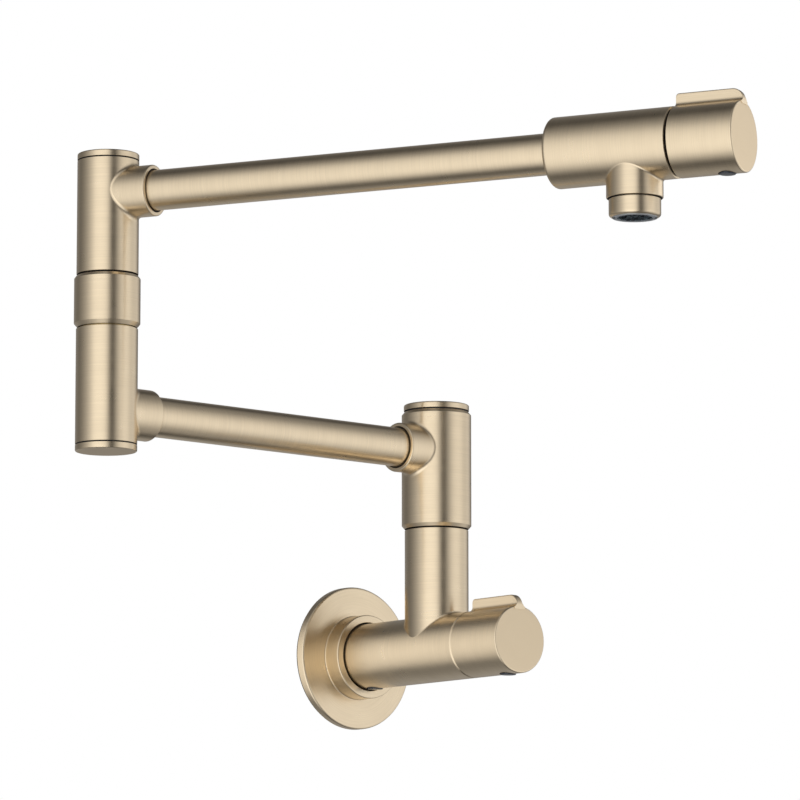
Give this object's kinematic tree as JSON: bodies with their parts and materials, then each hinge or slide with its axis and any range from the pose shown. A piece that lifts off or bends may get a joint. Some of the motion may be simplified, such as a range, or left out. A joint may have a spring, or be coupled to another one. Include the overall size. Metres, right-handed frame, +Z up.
{
  "type": "wall mounted pot filler",
  "caption": "Wall-mounted pot filler with a round wall plate, a riser with a swivel head, two jointed swing arms, a valve with a bladed handle at the wall and another at the spout.",
  "frame": {"origin": "middle of the supply thread's mouth, on the wall face behind the wall plate", "axes": "+Z up, +Y into the wall along the supply thread, the inlet valve stands out along -Y and the lower arm rests along -X"},
  "size_m": [0.298, 0.4228, 0.2977],
  "materials": {
    "champagne_bronze": "brushed champagne bronze",
    "plain_brass": "machined",
    "stainless_steel": "satin",
    "seal_rubber": "matt",
    "bearing_plastic": "matt",
    "insert_plastic": "silver-grey, matt",
    "plug_plastic": "dark blue-grey",
    "valve_ceramic": "lapped"
  },
  "bodies": {
    "wall_group": {"wall_gasket": "seal_rubber", "wall_plate": "champagne_bronze", "wall_plate_oring": "seal_rubber", "supply_adaptor": "plain_brass", "adaptor_orings": "seal_rubber", "inlet_filter": "stainless_steel", "inlet_body": "champagne_bronze", "body_set_screw": "stainless_steel", "body_screw_plug": "plug_plastic", "inlet_seat_seal": "seal_rubber", "inlet_cartridge": "plain_brass", "inlet_fixed_disc": "valve_ceramic", "inlet_cartridge_oring": "seal_rubber", "inlet_bonnet_nut": "plain_brass", "riser_orings": "seal_rubber", "riser_lock_washer": "stainless_steel", "riser_lock_nut": "plain_brass"},
    "inlet_handle_group": {"inlet_handle": "champagne_bronze", "inlet_stem": "plain_brass", "inlet_turning_disc": "valve_ceramic", "inlet_stem_oring": "seal_rubber", "inlet_handle_screw": "stainless_steel", "inlet_handle_plug": "plug_plastic"},
    "lower_arm": {"head_thrust_washer": "bearing_plastic", "swivel_head": "champagne_bronze", "head_bushing": "bearing_plastic", "head_cap_seal": "seal_rubber", "head_cap": "champagne_bronze", "lower_arm_tube": "champagne_bronze", "lower_elbow": "champagne_bronze", "bottom_cap_seal": "seal_rubber", "bottom_cap": "champagne_bronze", "elbow_spindle": "plain_brass", "elbow_ring": "champagne_bronze", "elbow_orings": "seal_rubber", "elbow_lock_washer": "stainless_steel", "elbow_lock_nut": "plain_brass"},
    "upper_arm": {"elbow_thrust_washer": "bearing_plastic", "upper_elbow": "champagne_bronze", "elbow_bushing": "bearing_plastic", "top_cap_seal": "seal_rubber", "top_cap": "champagne_bronze", "upper_arm_tube": "champagne_bronze", "outlet_body": "champagne_bronze", "outlet_seat_seal": "seal_rubber", "outlet_cartridge": "plain_brass", "outlet_fixed_disc": "valve_ceramic", "outlet_cartridge_oring": "seal_rubber", "outlet_bonnet_nut": "plain_brass", "aerator_washer": "seal_rubber", "aerator_housing": "champagne_bronze", "aerator_insert": "insert_plastic", "aerator_screen": "stainless_steel"},
    "outlet_handle_group": {"outlet_handle": "champagne_bronze", "outlet_stem": "plain_brass", "outlet_turning_disc": "valve_ceramic", "outlet_stem_oring": "seal_rubber", "outlet_handle_screw": "stainless_steel", "outlet_handle_plug": "plug_plastic"}
  },
  "joints": [
    {"name": "head_swivel", "type": "hinge", "parent": "wall_group", "child": "lower_arm", "pos_m": [0, -0.0755, 0.1], "axis": [0, 0, 1], "range_deg": [-10, 190]},
    {"name": "elbow_swivel", "type": "hinge", "parent": "lower_arm", "child": "upper_arm", "pos_m": [-0.239, -0.0755, 0.19], "axis": [0, 0, 1], "continuous": true},
    {"name": "inlet_valve_turn", "type": "hinge", "parent": "wall_group", "child": "inlet_handle_group", "pos_m": [0, -0.12, 0], "axis": [0, -1, 0], "range_deg": [0, 90]},
    {"name": "outlet_valve_turn", "type": "hinge", "parent": "upper_arm", "child": "outlet_handle_group", "pos_m": [-0.1, -0.39671, 0.2313], "axis": [0.3971, -0.9178, 0], "range_deg": [0, 90]}
  ]
}
